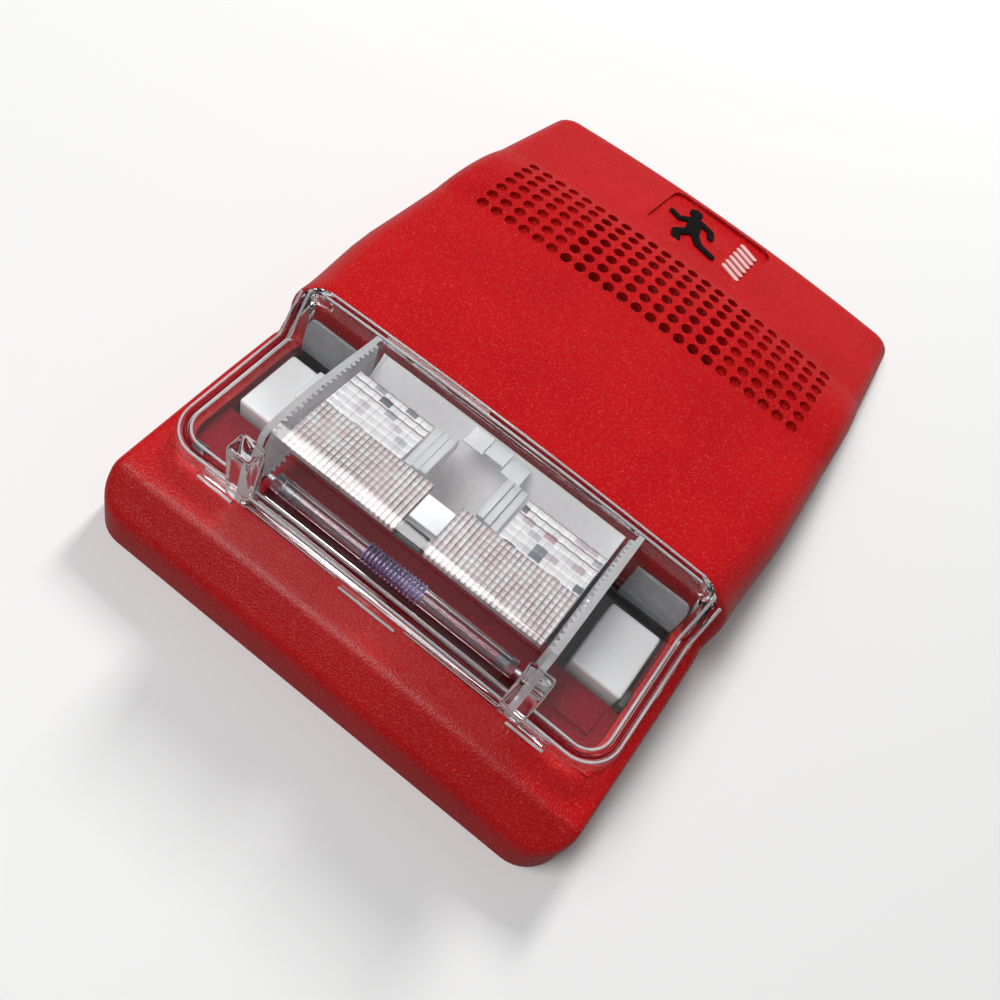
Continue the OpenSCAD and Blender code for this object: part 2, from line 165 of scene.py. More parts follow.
def rangeNode(tree, value, low, high, toLow, toHigh):
    node = tree.nodes.new("ShaderNodeMapRange")
    tree.links.new(value, node.inputs["Value"])
    for label, number in (("From Min", low), ("From Max", high), ("To Min", toLow), ("To Max", toHigh)):
        node.inputs[label].default_value = number
    return node.outputs["Result"]


# fine spark-eroded grain of moulded plastic: height and a slow drift for roughness and colour
grainGroup, grainIn, grainOut = newGroup(
    "mouldedGrain", [("Grain Size", 1900.0), ("Drift Size", 45.0)],
    [(label, "NodeSocketFloat") for label in ("Height", "Pits", "Drift", "GlintMask")])
place = grainGroup.nodes.new("ShaderNodeTexCoord").outputs["Object"]
fine = noiseNode(grainGroup, place, grainIn.outputs["Grain Size"], 3.0, 0.6)
cells = grainGroup.nodes.new("ShaderNodeTexVoronoi")
grainGroup.links.new(place, cells.inputs["Vector"])
grainGroup.links.new(mathNode(grainGroup, "MULTIPLY", grainIn.outputs["Grain Size"], 0.9), cells.inputs["Scale"])
cellHeight = mathNode(grainGroup, "MULTIPLY", cells.outputs["Distance"], 0.6)
grainGroup.links.new(mathNode(grainGroup, "ADD", fine, cellHeight), grainOut.inputs["Height"])
grainGroup.links.new(rangeNode(grainGroup, fine, 0.35, 0.7, 0.0, 1.0), grainOut.inputs["Pits"])
# mask for painted glints: paler flecks that stand in for the sparkle of light on the grain
glintSize = mathNode(grainGroup, "MULTIPLY", grainIn.outputs["Grain Size"], 0.8)
glintNoise = noiseNode(grainGroup, place, glintSize, 1.0, 0.4)
grainGroup.links.new(rangeNode(grainGroup, glintNoise, 0.58, 0.70, 0.0, 1.0), grainOut.inputs["GlintMask"])
driftNoise = noiseNode(grainGroup, place, grainIn.outputs["Drift Size"], 4.0)
grainGroup.links.new(rangeNode(grainGroup, driftNoise, 0.3, 0.7, 0.0, 1.0), grainOut.inputs["Drift"])


def newMaterial(name):
    material = bpy.data.materials.new(name)
    material.use_nodes = True
    tree = material.node_tree
    return material, tree, tree.nodes["Principled BSDF"]


def mixColour(tree, factor, a, b):
    node = tree.nodes.new("ShaderNodeMix")
    node.data_type = "RGBA"
    tree.links.new(factor, node.inputs[0])
    node.inputs[6].default_value = (*a, 1)
    node.inputs[7].default_value = (*b, 1)
    return node.outputs[2]


def mouldedPlastic(name, colour, colourTwo, roughLow, roughHigh, grain=1900.0, bump=0.25, depth=0.00006,
                   coat=0.0, metallic=0.0, gloss=0.5, paintedGlint=None):
    material, tree, shader = newMaterial(name)
    group = tree.nodes.new("ShaderNodeGroup")
    group.node_tree = grainGroup
    group.inputs["Grain Size"].default_value = grain
    base = mixColour(tree, group.outputs["Drift"], colour, colourTwo)
    if paintedGlint:                               # painted glints: paler flecks mixed into the colour stand in for the sparkle of light on the grain
        glintFleck = tree.nodes.new("ShaderNodeMix")
        glintFleck.data_type = "RGBA"
        tree.links.new(mathNode(tree, "MULTIPLY", group.outputs["GlintMask"], paintedGlint[3]), glintFleck.inputs[0])
        tree.links.new(base, glintFleck.inputs[6])
        glintFleck.inputs[7].default_value = (*paintedGlint[:3], 1)
        base = glintFleck.outputs[2]
    tree.links.new(base, shader.inputs["Base Color"])
    rough = rangeNode(tree, group.outputs["Pits"], 0.0, 1.0, roughLow, roughHigh)
    tree.links.new(rough, shader.inputs["Roughness"])
    bumpNode = tree.nodes.new("ShaderNodeBump")
    bumpNode.inputs["Strength"].default_value = bump
    bumpNode.inputs["Distance"].default_value = depth
    tree.links.new(group.outputs["Height"], bumpNode.inputs["Height"])
    tree.links.new(bumpNode.outputs["Normal"], shader.inputs["Normal"])
    shader.inputs["Coat Weight"].default_value = coat
    shader.inputs["Metallic"].default_value = metallic
    shader.inputs["Specular IOR Level"].default_value = gloss
    return material


def clearPlastic(name, tint, rough, ior, waver=0.0):
    material, tree, shader = newMaterial(name)
    shader.inputs["Base Color"].default_value = (*tint, 1)
    shader.inputs["Transmission Weight"].default_value = 1.0
    shader.inputs["IOR"].default_value = ior
    # light and soft bounces go straight through, so the works behind stay bright
    path = tree.nodes.new("ShaderNodeLightPath")
    through = mathNode(tree, "MAXIMUM", path.outputs["Is Shadow Ray"], path.outputs["Is Diffuse Ray"])
    tree.links.new(rangeNode(tree, through, 0.0, 1.0, 1.0, 0.06), shader.inputs["Alpha"])
    group = tree.nodes.new("ShaderNodeGroup")
    group.node_tree = grainGroup
    group.inputs["Grain Size"].default_value = 260.0
    pits = rangeNode(tree, group.outputs["Pits"], 0.0, 1.0, rough, rough + 0.02)
    tree.links.new(pits, shader.inputs["Roughness"])
    bumpNode = tree.nodes.new("ShaderNodeBump")
    bumpNode.inputs["Strength"].default_value = waver
    bumpNode.inputs["Distance"].default_value = 0.00004
    tree.links.new(group.outputs["Height"], bumpNode.inputs["Height"])
    tree.links.new(bumpNode.outputs["Normal"], shader.inputs["Normal"])
    return material


# both reds carry painted glints: a paler colour and how strongly it is mixed in
coverRed = mouldedPlastic("coverRed", (0.45, 0.003, 0.006), (0.52, 0.005, 0.008),
                          0.18, 0.36, 3100.0, 0.9, 0.00008, gloss=0.38, paintedGlint=(0.85, 0.15, 0.10, 0.25))
# shadedRed: a darker, duller copy of the cover's red, painted shade for the pocket floor under the lens, the ledge
# in it and the dark rim line
shadedRed = mouldedPlastic("shadedRed", (0.20, 0.0006, 0.005), (0.26, 0.001, 0.008),
                           0.35, 0.5, 2600.0, 0.8, 0.00008, gloss=0.06, paintedGlint=(0.55, 0.03, 0.05, 0.4))
lensClear = clearPlastic("lensClear", (0.985, 0.99, 0.995), 0.0, 1.45, 0.05)
# whitish half-clear plastic for the painted highlight rods on the rim and flange
edgeHighlightClear = mouldedPlastic("edgeHighlightClear", (0.90, 0.91, 0.93), (0.80, 0.82, 0.85), 0.04, 0.10, 400.0, 0.1)
edgeHighlightClear.node_tree.nodes["Principled BSDF"].inputs["Transmission Weight"].default_value = 0.55
frostClear = mouldedPlastic("frostClear", (0.93, 0.94, 0.95), (0.84, 0.87, 0.89), 0.05, 0.14, 500.0, 0.1)
frostClear.node_tree.nodes["Principled BSDF"].inputs["Transmission Weight"].default_value = 0.5
wallClear = mouldedPlastic("wallClear", (0.98, 0.98, 0.99), (0.93, 0.94, 0.96), 0.02, 0.06, 500.0, 0.1)
wallClear.node_tree.nodes["Principled BSDF"].inputs["Transmission Weight"].default_value = 0.62
tubeGlass = clearPlastic("tubeGlass", (0.96, 0.95, 1.0), 0.0, 1.46, 0.02)
whitePlastic = mouldedPlastic("whitePlastic", (0.93, 0.94, 0.94), (0.89, 0.90, 0.91),
                              0.28, 0.42, 1200.0, 0.08)
basePlastic = mouldedPlastic("basePlastic", (0.020, 0.020, 0.022), (0.035, 0.035, 0.038),
                             0.4, 0.6, 1300.0, 0.3)
reflectorCoat = mouldedPlastic("reflectorCoat", (0.97, 0.97, 0.98), (0.94, 0.945, 0.955),
                               0.24, 0.32, 900.0, 0.03)
panelGrey = mouldedPlastic("panelGrey", (0.40, 0.42, 0.44), (0.28, 0.30, 0.32), 0.18, 0.34, 300.0, 0.05)
blackPlastic = mouldedPlastic("blackPlastic", (0.018, 0.018, 0.020), (0.035, 0.035, 0.038),
                              0.35, 0.55, 1500.0, 0.3)
symbolInk = mouldedPlastic("symbolInk", (0.006, 0.005, 0.005), (0.012, 0.010, 0.010),
                           0.5, 0.7, 1700.0, 0.2, gloss=0.15)
paleInk = mouldedPlastic("paleInk", (0.86, 0.52, 0.50), (0.72, 0.36, 0.34), 0.4, 0.6, 2600.0, 0.3)
sleeveInk = mouldedPlastic("sleeveInk", (0.012, 0.014, 0.045), (0.03, 0.03, 0.07),
                           0.2, 0.32, 500.0, 0.1, coat=0.3)
ferriteGrey = mouldedPlastic("ferriteGrey", (0.05, 0.05, 0.055), (0.09, 0.09, 0.095), 0.45, 0.7, 1500.0, 0.4)
chipCeramic = mouldedPlastic("chipCeramic", (0.42, 0.34, 0.24), (0.55, 0.48, 0.38), 0.4, 0.55, 2500.0, 0.2)
tapeYellow = mouldedPlastic("tapeYellow", (0.75, 0.50, 0.05), (0.85, 0.62, 0.12), 0.22, 0.36, 350.0, 0.2)
brassPlate = mouldedPlastic("brassPlate", (0.74, 0.56, 0.24), (0.62, 0.46, 0.20),
                            0.22, 0.42, 900.0, 0.15, metallic=1.0)
zincSteel = mouldedPlastic("zincSteel", (0.66, 0.66, 0.68), (0.52, 0.53, 0.56),
                           0.22, 0.42, 1100.0, 0.2, metallic=1.0)
rolledAluminium = mouldedPlastic("rolledAluminium", (0.80, 0.80, 0.82), (0.70, 0.70, 0.73),
                                 0.2, 0.36, 1600.0, 0.2, metallic=1.0)
softFoam = mouldedPlastic("softFoam", (0.03, 0.03, 0.03), (0.06, 0.06, 0.06), 0.8, 0.95, 2200.0, 1.0, 0.0003)


def windingMaterial(name, colour, dark, turnsPerMetre, direction):
    # lacquered wire laid in turns: bands across one direction
    material, tree, shader = newMaterial(name)
    wave = tree.nodes.new("ShaderNodeTexWave")
    wave.bands_direction = direction
    wave.inputs["Scale"].default_value = turnsPerMetre / 3.18
    wave.inputs["Distortion"].default_value = 0.6
    wave.inputs["Detail Scale"].default_value = 2.0
    tree.links.new(tree.nodes.new("ShaderNodeTexCoord").outputs["Object"], wave.inputs["Vector"])
    tree.links.new(mixColour(tree, wave.outputs["Fac"], dark, colour), shader.inputs["Base Color"])
    tree.links.new(rangeNode(tree, wave.outputs["Fac"], 0.0, 1.0, 0.5, 0.25), shader.inputs["Roughness"])
    shader.inputs["Metallic"].default_value = 0.85
    bumpNode = tree.nodes.new("ShaderNodeBump")
    bumpNode.inputs["Strength"].default_value = 0.8
    bumpNode.inputs["Distance"].default_value = 0.0001
    tree.links.new(wave.outputs["Fac"], bumpNode.inputs["Height"])
    tree.links.new(bumpNode.outputs["Normal"], shader.inputs["Normal"])
    return material


copperTurns = windingMaterial("copperTurns", (0.80, 0.36, 0.16), (0.30, 0.10, 0.04), 3000.0, "Z")
coilTurns = windingMaterial("coilTurns", (0.78, 0.34, 0.15), (0.30, 0.10, 0.04), 2600.0, "Z")
violetTurns = windingMaterial("violetTurns", (0.36, 0.28, 0.62), (0.07, 0.04, 0.15), 1200.0, "X")


def boardMaterial():
    # green solder mask in two greens, with paler lines between the blocks for the copper runs
    material, tree, shader = newMaterial("boardMask")
    place = tree.nodes.new("ShaderNodeTexCoord").outputs["Object"]
    brick = tree.nodes.new("ShaderNodeTexBrick")
    tree.links.new(place, brick.inputs["Vector"])
    brick.inputs["Scale"].default_value = 190.0
    brick.inputs["Mortar Size"].default_value = 0.06
    brick.inputs["Color1"].default_value = (0.010, 0.16, 0.065, 1)
    brick.inputs["Color2"].default_value = (0.012, 0.20, 0.08, 1)
    brick.inputs["Mortar"].default_value = (0.02, 0.30, 0.13, 1)
    tree.links.new(brick.outputs["Color"], shader.inputs["Base Color"])
    tree.links.new(rangeNode(tree, noiseNode(tree, place, 260.0), 0.3, 0.7, 0.18, 0.34), shader.inputs["Roughness"])
    bumpNode = tree.nodes.new("ShaderNodeBump")
    bumpNode.inputs["Strength"].default_value = 0.3
    bumpNode.inputs["Distance"].default_value = 0.00005
    tree.links.new(brick.outputs["Fac"], bumpNode.inputs["Height"])
    tree.links.new(bumpNode.outputs["Normal"], shader.inputs["Normal"])
    return material


boardMask = boardMaterial()


def lineMask(tree, coordinate, pitch, offset, width):
    # 1 on thin lines that repeat every pitch (m) along a coordinate, fading to 0 between them
    shifted = mathNode(tree, "ADD", coordinate, offset)
    saw = mathNode(tree, "FRACT", mathNode(tree, "DIVIDE", shifted, pitch))
    off = mathNode(tree, "ABSOLUTE", mathNode(tree, "SUBTRACT", saw, 0.5))
    return rangeNode(tree, off, 0.5 - width, 0.5, 0.0, 1.0)


def ribMaterial(name, pitchX, pitchY, start, acrossFrom, pale, paleTwo, line):
    # clear prisms seen from above: pale glass with grooves, and cross grooves away from the middle; the grooves are
    # painted dark red, a painted reflection of the red cover seen through the clear prisms
    material, tree, shader = newMaterial(name)
    place = tree.nodes.new("ShaderNodeTexCoord").outputs["Object"]
    parts = tree.nodes.new("ShaderNodeSeparateXYZ")
    tree.links.new(place, parts.inputs[0])
    distance = mathNode(tree, "ABSOLUTE", parts.outputs["X"])
    along = lineMask(tree, distance, pitchX * mm, -start[0] * mm, 0.26)
    across = lineMask(tree, parts.outputs["Y"], pitchY * mm, -yAt(start[1]), 0.22)
    away = rangeNode(tree, distance, acrossFrom * mm, (acrossFrom + 1.5) * mm, 0.0, 0.6)
    grooves = mathNode(tree, "MAXIMUM", along, mathNode(tree, "MULTIPLY", across, away))
    patches = rangeNode(tree, noiseNode(tree, place, 170.0, 2.0), 0.35, 0.65, 0.55, 1.0)
    base = mixColour(tree, rangeNode(tree, noiseNode(tree, place, 420.0, 1.0), 0.4, 0.6, 0.0, 1.0), pale, paleTwo)
    node = tree.nodes.new("ShaderNodeMix")
    node.data_type = "RGBA"
    tree.links.new(mathNode(tree, "MULTIPLY", grooves, patches), node.inputs[0])
    tree.links.new(base, node.inputs[6])
    node.inputs[7].default_value = (*line, 1)
    tree.links.new(node.outputs[2], shader.inputs["Base Color"])
    tree.links.new(rangeNode(tree, grooves, 0.0, 1.0, 0.05, 0.3), shader.inputs["Roughness"])
    shader.inputs["Transmission Weight"].default_value = 0.3
    shader.inputs["IOR"].default_value = 1.5
    return material


def cubeMaterial():
    # prism cubes: each one is painted a different tone, from near black to white and pinkish, a painted reflection
    # of a different bit of the room
    material, tree, shader = newMaterial("prismCubes")
    place = tree.nodes.new("ShaderNodeTexCoord").outputs["Object"]
    snap = tree.nodes.new("ShaderNodeVectorMath")
    snap.operation = "SNAP"
    tree.links.new(place, snap.inputs[0])
    snap.inputs[1].default_value = (2.4 * mm, 1.7 * mm, 1.0)
    white = tree.nodes.new("ShaderNodeTexWhiteNoise")
    tree.links.new(snap.outputs[0], white.inputs["Vector"])
    tones = tree.nodes.new("ShaderNodeValToRGB")
    stops = [(0.0, (0.08, 0.10, 0.13)), (0.07, (0.50, 0.56, 0.60)), (0.16, (0.93, 0.94, 0.95)),
             (0.80, (0.97, 0.97, 0.97)), (0.92, (0.72, 0.68, 0.72)), (1.0, (0.60, 0.40, 0.44))]
    tones.color_ramp.elements[0].color = (*stops[0][1], 1)
    tones.color_ramp.elements[-1].color = (*stops[-1][1], 1)
    for stop, colour in stops[1:-1]:
        tones.color_ramp.elements.new(stop).color = (*colour, 1)
    tree.links.new(white.outputs["Value"], tones.inputs["Fac"])
    parts = tree.nodes.new("ShaderNodeSeparateXYZ")
    tree.links.new(place, parts.inputs[0])
    # dark red lines along the seams, stronger towards the rear: painted reflection of the red cover seen through
    # the clear cubes
    seams = lineMask(tree, parts.outputs["Y"], 1.7 * mm, -yAt(34.4), 0.16)
    uprights = lineMask(tree, mathNode(tree, "ABSOLUTE", parts.outputs["X"]), 2.4 * mm, -10.8 * mm, 0.07)
    rear = rangeNode(tree, parts.outputs["Y"], yAt(39.6), yAt(40.4), 0.25, 1.0)
    seams = mathNode(tree, "MULTIPLY", seams, rear)
    grooves = mathNode(tree, "MAXIMUM", seams, mathNode(tree, "MULTIPLY", uprights, 0.35))
    node = tree.nodes.new("ShaderNodeMix")
    node.data_type = "RGBA"
    tree.links.new(grooves, node.inputs[0])
    tree.links.new(tones.outputs["Color"], node.inputs[6])
    node.inputs[7].default_value = (0.13, 0.01, 0.025, 1)
    tree.links.new(node.outputs[2], shader.inputs["Base Color"])
    tree.links.new(rangeNode(tree, noiseNode(tree, place, 500.0), 0.3, 0.7, 0.03, 0.12), shader.inputs["Roughness"])
    shader.inputs["Transmission Weight"].default_value = 0.35
    shader.inputs["IOR"].default_value = 1.5
    return material


# the last colour is the dark red of the grooves: painted reflection
prismRibs = ribMaterial("prismRibs", 1.08, 1.22, (3.2, 23.2), 9.0,
                        (0.99, 0.98, 0.98), (0.90, 0.80, 0.82), (0.09, 0.004, 0.016))
prismCubes = cubeMaterial()
print("materials ready")


# modelling helpers
def finishPiece(name, bm, material, body, replaced=(), sharp=35, recalc=True):
    bmesh.ops.remove_doubles(bm, verts=bm.verts, dist=1e-7)
    if recalc:
        bmesh.ops.recalc_face_normals(bm, faces=bm.faces)
    limit = math.radians(sharp)
    for face in bm.faces:
        face.smooth = True
    for edge in bm.edges:
        edge.smooth = len(edge.link_faces) == 2 and edge.calc_face_angle(3.2) < limit
    mesh = bpy.data.meshes.new(name)
    bm.to_mesh(mesh)
    bm.free()
    piece = bpy.data.objects.new(name, mesh)
    bpy.context.scene.collection.objects.link(piece)
    piece.data.materials.append(material)
    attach(piece, body)
    if replaced:
        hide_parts(*replaced)
    return piece


def looseObject(name, bm):
    mesh = bpy.data.meshes.new(name)
    bm.to_mesh(mesh)
    bm.free()
    obj = bpy.data.objects.new(name, mesh)
    bpy.context.scene.collection.objects.link(obj)
    return obj


def carve(base, cutters):
    # applies one exact boolean after another and gives back the result as a bmesh
    for operation, tool in cutters:
        modifier = base.modifiers.new(tool.name, "BOOLEAN")
        modifier.operation = operation
        modifier.solver = "EXACT"
        modifier.object = tool
    graph = bpy.context.evaluated_depsgraph_get()
    result = bmesh.new()
    result.from_object(base, graph)
    for obj in [base] + [tool for operation, tool in cutters]:
        bpy.data.objects.remove(obj)
    return result


def box(bm, x0, x1, s0, s1, z0, z1, edge=0.0, segments=2):
    made = bmesh.ops.create_cube(bm, size=1.0)["verts"]
    bmesh.ops.scale(bm, vec=((x1 - x0) * mm, (s1 - s0) * mm, (z1 - z0) * mm), verts=made)
    bmesh.ops.translate(bm, vec=((x0 + x1) / 2 * mm, yAt((s0 + s1) / 2), (z0 + z1) / 2 * mm), verts=made)
    if edge:
        edges = list({e for v in made for e in v.link_edges})
        bmesh.ops.bevel(bm, geom=edges, offset=edge * mm, segments=segments, profile=0.5, affect="EDGES",
                        material=-1)


def cutAt(bm, x=None, s=None):
    # cuts every face along one line of x or of length
    point, normal = ((0, yAt(s), 0), (0, 1, 0)) if x is None else ((x * mm, 0, 0), (1, 0, 0))
    geom = bm.verts[:] + bm.edges[:] + bm.faces[:]
    bmesh.ops.bisect_plane(bm, geom=geom, dist=1e-8, plane_co=point, plane_no=normal)


def thicken(bm, face, offset):
    # gives one face a thickness, by pushing a copy of it along an offset
    made = bmesh.ops.extrude_face_region(bm, geom=[face])["geom"]
    bmesh.ops.translate(bm, vec=offset, verts=[v for v in made if isinstance(v, bmesh.types.BMVert)])


def faceUp(bm):
    # turns the whole skin over if its largest face looks down
    bm.normal_update()
    if max(bm.faces, key=lambda f: f.calc_area()).normal.z < 0:
        bmesh.ops.reverse_faces(bm, faces=bm.faces)


def roundedFace(bm, half, s0, s1, radius, segments=10):
    made = bmesh.ops.create_grid(bm, x_segments=1, y_segments=1, size=0.5)["verts"]
    bmesh.ops.scale(bm, vec=(2 * half * mm, (s1 - s0) * mm, 1), verts=made)
    bmesh.ops.translate(bm, vec=(0, yAt((s0 + s1) / 2), 0), verts=made)
    bmesh.ops.bevel(bm, geom=made, offset=radius * mm, segments=segments, profile=0.5, affect="VERTICES",
                    material=-1)
    return max(bm.faces, key=lambda f: f.calc_area())


def ringsAndCuts(bm, face, rings, xCuts, sCuts):
    # insets the outline ring by ring, then cuts the whole skin along lines of x and of length
    done = 0.0
    for distance in rings:
        step = (distance - done) * mm
        bmesh.ops.inset_region(bm, faces=[face], thickness=step, use_even_offset=True, use_boundary=True)
        face = max(bm.faces, key=lambda f: f.calc_area())
        done = distance
    for x in xCuts:
        cutAt(bm, x=x)
    for s in sCuts:
        cutAt(bm, s=s)


def outlineDistance(x, s, half, s0, s1, radius):
    # distance inwards from a rounded rectangle's outline, in mm
    qx, qs = abs(x) - half + radius, abs(s - (s0 + s1) / 2) - (s1 - s0) / 2 + radius
    outside = math.hypot(max(qx, 0.0), max(qs, 0.0))
    return radius - outside - min(max(qx, qs), 0.0)


def closeDown(bm, level):
    # drops the border of a skin to a level as walls, and gives back the lowered points; the callers close the
    # underside
    border = [e for e in bm.edges if e.is_boundary]
    walls = bmesh.ops.extrude_edge_only(bm, edges=border)["geom"]
    low = [v for v in walls if isinstance(v, bmesh.types.BMVert)]
    for v in low:
        v.co.z = level * mm
    return low


# front cover
coverSettings = {
    "radius": 8.0, "farRadius": 4.6, "wall": 2.2,
    "rings": [0.25, 0.6, 1.1, 1.8, 2.8, 4.0, 5.4, 7.0],
    "profile": [(-2, 6.9), (7.2, 11.9), (8.2, 12.36), (9.2, 12.5), (53.8, 12.5), (54.2, 15.9), (54.9, 23.0),
                (55.2, 25.6), (55.7, 26.45), (56.6, 26.55), (104.3, 19.4)],
    "bandRadius": 67.0, "bandTop": 107.8, "bandTopHeight": 19.5, "bandEnd": 131.5, "farHeight": 6.8,
    "length": 165.0,
    "crown": [(0, 1.6), (54, 2.0), (104, 2.6), (131, 3.0), (165, 2.4)],
    "shoulder": [(0, 1.4), (50, 1.6), (53.8, 3.0), (55, 10.0), (60, 10.0), (74, 7.0), (90, 6.0), (104, 5.0),
                 (131, 4.6), (165, 3.4)],
    "halfWidth": [(0, 52.4), (9, 52.6), (37, 53.0), (54, 53.0), (60, 53.2), (70, 53.8), (80, 54.3), (106, 54.1),
                  (123, 54.0), (140, 53.5), (159, 52.9), (166, 52.4)],
    "grille": {"columns": 23, "rows": 7, "pitch": 3.83, "first": 106.2, "hole": 2.75, "open": 5, "blind": 1.3},
    "recess": {"half": 14.8, "from": 138.5, "to": 161.0, "depth": 0.8},
}


def frontHeight(s):
    c = coverSettings
    if s <= 104.3:
        return ramp(c["profile"], s)
    centre = c["bandTopHeight"] - c["bandRadius"]
    if s <= c["bandEnd"]:
        return centre + math.sqrt(c["bandRadius"] ** 2 - (s - c["bandTop"]) ** 2)
    last = centre + math.sqrt(c["bandRadius"] ** 2 - (c["bandEnd"] - c["bandTop"]) ** 2)
    return last + (c["farHeight"] - last) * (s - c["bandEnd"]) / (c["length"] - c["bandEnd"])


def frontSurface(x, s):
    return frontHeight(s) - ramp(coverSettings["crown"], s) * (x / halfWidth) ** 2


def tighten(v, half, far, radius, tight):
    # pushes a rounded corner at the far end outwards until its radius is the tighter one
    dx, ds = abs(v.co.x) / mm - half + radius, sAt(v.co.y) - far + radius
    if dx <= 0 or ds <= 0:
        return
    reach = math.hypot(dx, ds)
    c, w, k = dx / reach, ds / reach, radius - tight
    if radius * min(c, w) / max(c, w) <= k:
        edge = radius / max(c, w)
    else:
        edge = k * (c + w) + math.sqrt((k * (c + w)) ** 2 - 2 * k * k + tight * tight)
    stretch = (edge / radius - 1) * reach / radius
    v.co.x += math.copysign(dx * stretch * mm, v.co.x)
    v.co.y += ds * stretch * mm


def shellSolid(name, inset):
    c = coverSettings
    bm = bmesh.new()
    half, s0, s1, radius = halfWidth - inset, inset, c["length"] - inset, c["radius"] - inset
    face = roundedFace(bm, half, s0, s1, radius)
    keyCuts = [7.2, 8.2, 9.2, 53.8, 54.2, 54.9, 55.2, 55.7, 56.6, 104.3, 131.5]
    sCuts = keyCuts + [11 + 3.0 * k for k in range(51)]
    xCuts = [-51 + 3.0 * k for k in range(35)]
    rings = [r for r in c["rings"] if r < radius - 0.6]
    ringsAndCuts(bm, face, rings, xCuts, sCuts)
    for v in bm.verts:
        x, s = v.co.x / mm, sAt(v.co.y)
        d = outlineDistance(x, s, half, s0, s1, radius)
        r = max(ramp(c["shoulder"], s) - 0.4 * inset, 0.8)
        drop = r - math.sqrt(max(r * r - max(r - d, 0.0) ** 2, 0.0))
        v.co.z = (frontSurface(x, s - 0.6 * inset) - inset - drop) * mm
    top = set(bm.verts)
    low = closeDown(bm, 0.0 if not inset else -3.0)
    for v in top:                           # the lens end's wall leans back a little
        s = sAt(v.co.y)
        v.co.y += 1.3 * mm * max(0.0, 1 - (s - inset) / 9.0) * min(1.0, v.co.z / (9 * mm))
    for v in bm.verts:
        tighten(v, half, s1, radius, c["farRadius"] - 0.7 * inset)
    for v in bm.verts:                      # barrel-shaped sides
        v.co.x *= ramp(c["halfWidth"], sAt(v.co.y)) / halfWidth
    bmesh.ops.contextual_create(bm, geom=low + [e for e in bm.edges if e.is_boundary])
    bmesh.ops.recalc_face_normals(bm, faces=bm.faces)
    return looseObject(name, bm)


def grilleCutters():
    g = coverSettings["grille"]
    bm = bmesh.new()
    middle = (g["columns"] - 1) // 2
    for row in range(g["rows"]):
        for column in range(-middle, middle + 1):
            x, s = column * g["pitch"], g["first"] + row * g["pitch"]
            top = frontSurface(x, s)
            depth = 6.0 if abs(column) <= g["open"] else g["blind"]
            radius = g["hole"] / 2 * mm
            made = bmesh.ops.create_cone(bm, cap_ends=True, cap_tris=False, segments=20, radius1=radius,
                                         radius2=radius, depth=(depth + 2) * mm)["verts"]
            bmesh.ops.translate(bm, vec=(x * mm, yAt(s), (top + 1 - depth / 2) * mm), verts=made)
    return looseObject("grilleCutters", bm)


def recessCutter():
    r = coverSettings["recess"]
    bm = bmesh.new()
    face = roundedFace(bm, r["half"], r["from"], r["to"], 3.0, 6)
    ringsAndCuts(bm, face, [], [-10, -5, 0, 5, 10], [144, 148, 152, 156])
    for v in bm.verts:
        v.co.z = (frontSurface(v.co.x / mm, sAt(v.co.y)) - r["depth"]) * mm
    low = closeDown(bm, 20.0)
    bmesh.ops.contextual_create(bm, geom=low + [e for e in bm.edges if e.is_boundary])
    bmesh.ops.recalc_face_normals(bm, faces=bm.faces)
    return looseObject("recessCutter", bm)


def pocketCutter():
    bm = bmesh.new()
    roundedFace(bm, 46.6, 18.2, 53.4, 6.0, 8)
    for v in bm.verts:
        v.co.z = 9.5 * mm
    low = closeDown(bm, 30.0)
    bmesh.ops.contextual_create(bm, geom=low + [e for e in bm.edges if e.is_boundary])
    bmesh.ops.recalc_face_normals(bm, faces=bm.faces)
    return looseObject("pocketCutter", bm)


def openingCutter():
    bm = bmesh.new()
    box(bm, -32.6, 32.6, 33.4, 53.3, -1, 14)
    opening = looseObject("opening", bm)
    bm = bmesh.new()
    for side in (-1, 1):
        x0, x1 = sorted((side * 32.0, side * 46.2))
        box(bm, x0, x1, 31.0, 53.2, -1, 14)
        x0, x1 = sorted((side * 33.0, side * 38.5))
        box(bm, x0, x1, 15.8, 17.0, 9.0, 14)
    box(bm, -29.5, 29.5, 20.2, 24.6, -1, 14)
    return opening, looseObject("sideOpenings", bm)


def slabTool():
    bm = bmesh.new()
    box(bm, -48.4, 48.4, 17, 54.0, 7.5, 11.4)
    return looseObject("slabTool", bm)


opening, sideOpenings = openingCutter()
shell = carve(shellSolid("outerShell", 0.0), [
    ("DIFFERENCE", shellSolid("innerShell", coverSettings["wall"])), ("UNION", slabTool()),
    ("DIFFERENCE", pocketCutter()), ("DIFFERENCE", opening), ("DIFFERENCE", sideOpenings),
    ("DIFFERENCE", recessCutter()), ("DIFFERENCE", grilleCutters())])
frontCover = finishPiece("frontCoverShell", shell, coverRed, "cover_assembly", ["front_cover"],
                         38, False)
frontCover.data.materials.append(shadedRed)        # the pocket floor under the lens is never in full light
# faces inside the pocket take the darker red: painted shade
for polygon in frontCover.data.polygons:
    x, s, z = polygon.center.x / mm, sAt(polygon.center.y), polygon.center.z / mm
    if abs(x) < 46.65 and 18.15 < s < 53.6 and (z < 11.2 or z < 12.6 and polygon.normal.z < 0.5):
        polygon.material_index = 1
print("front cover", len(frontCover.data.polygons), "faces")


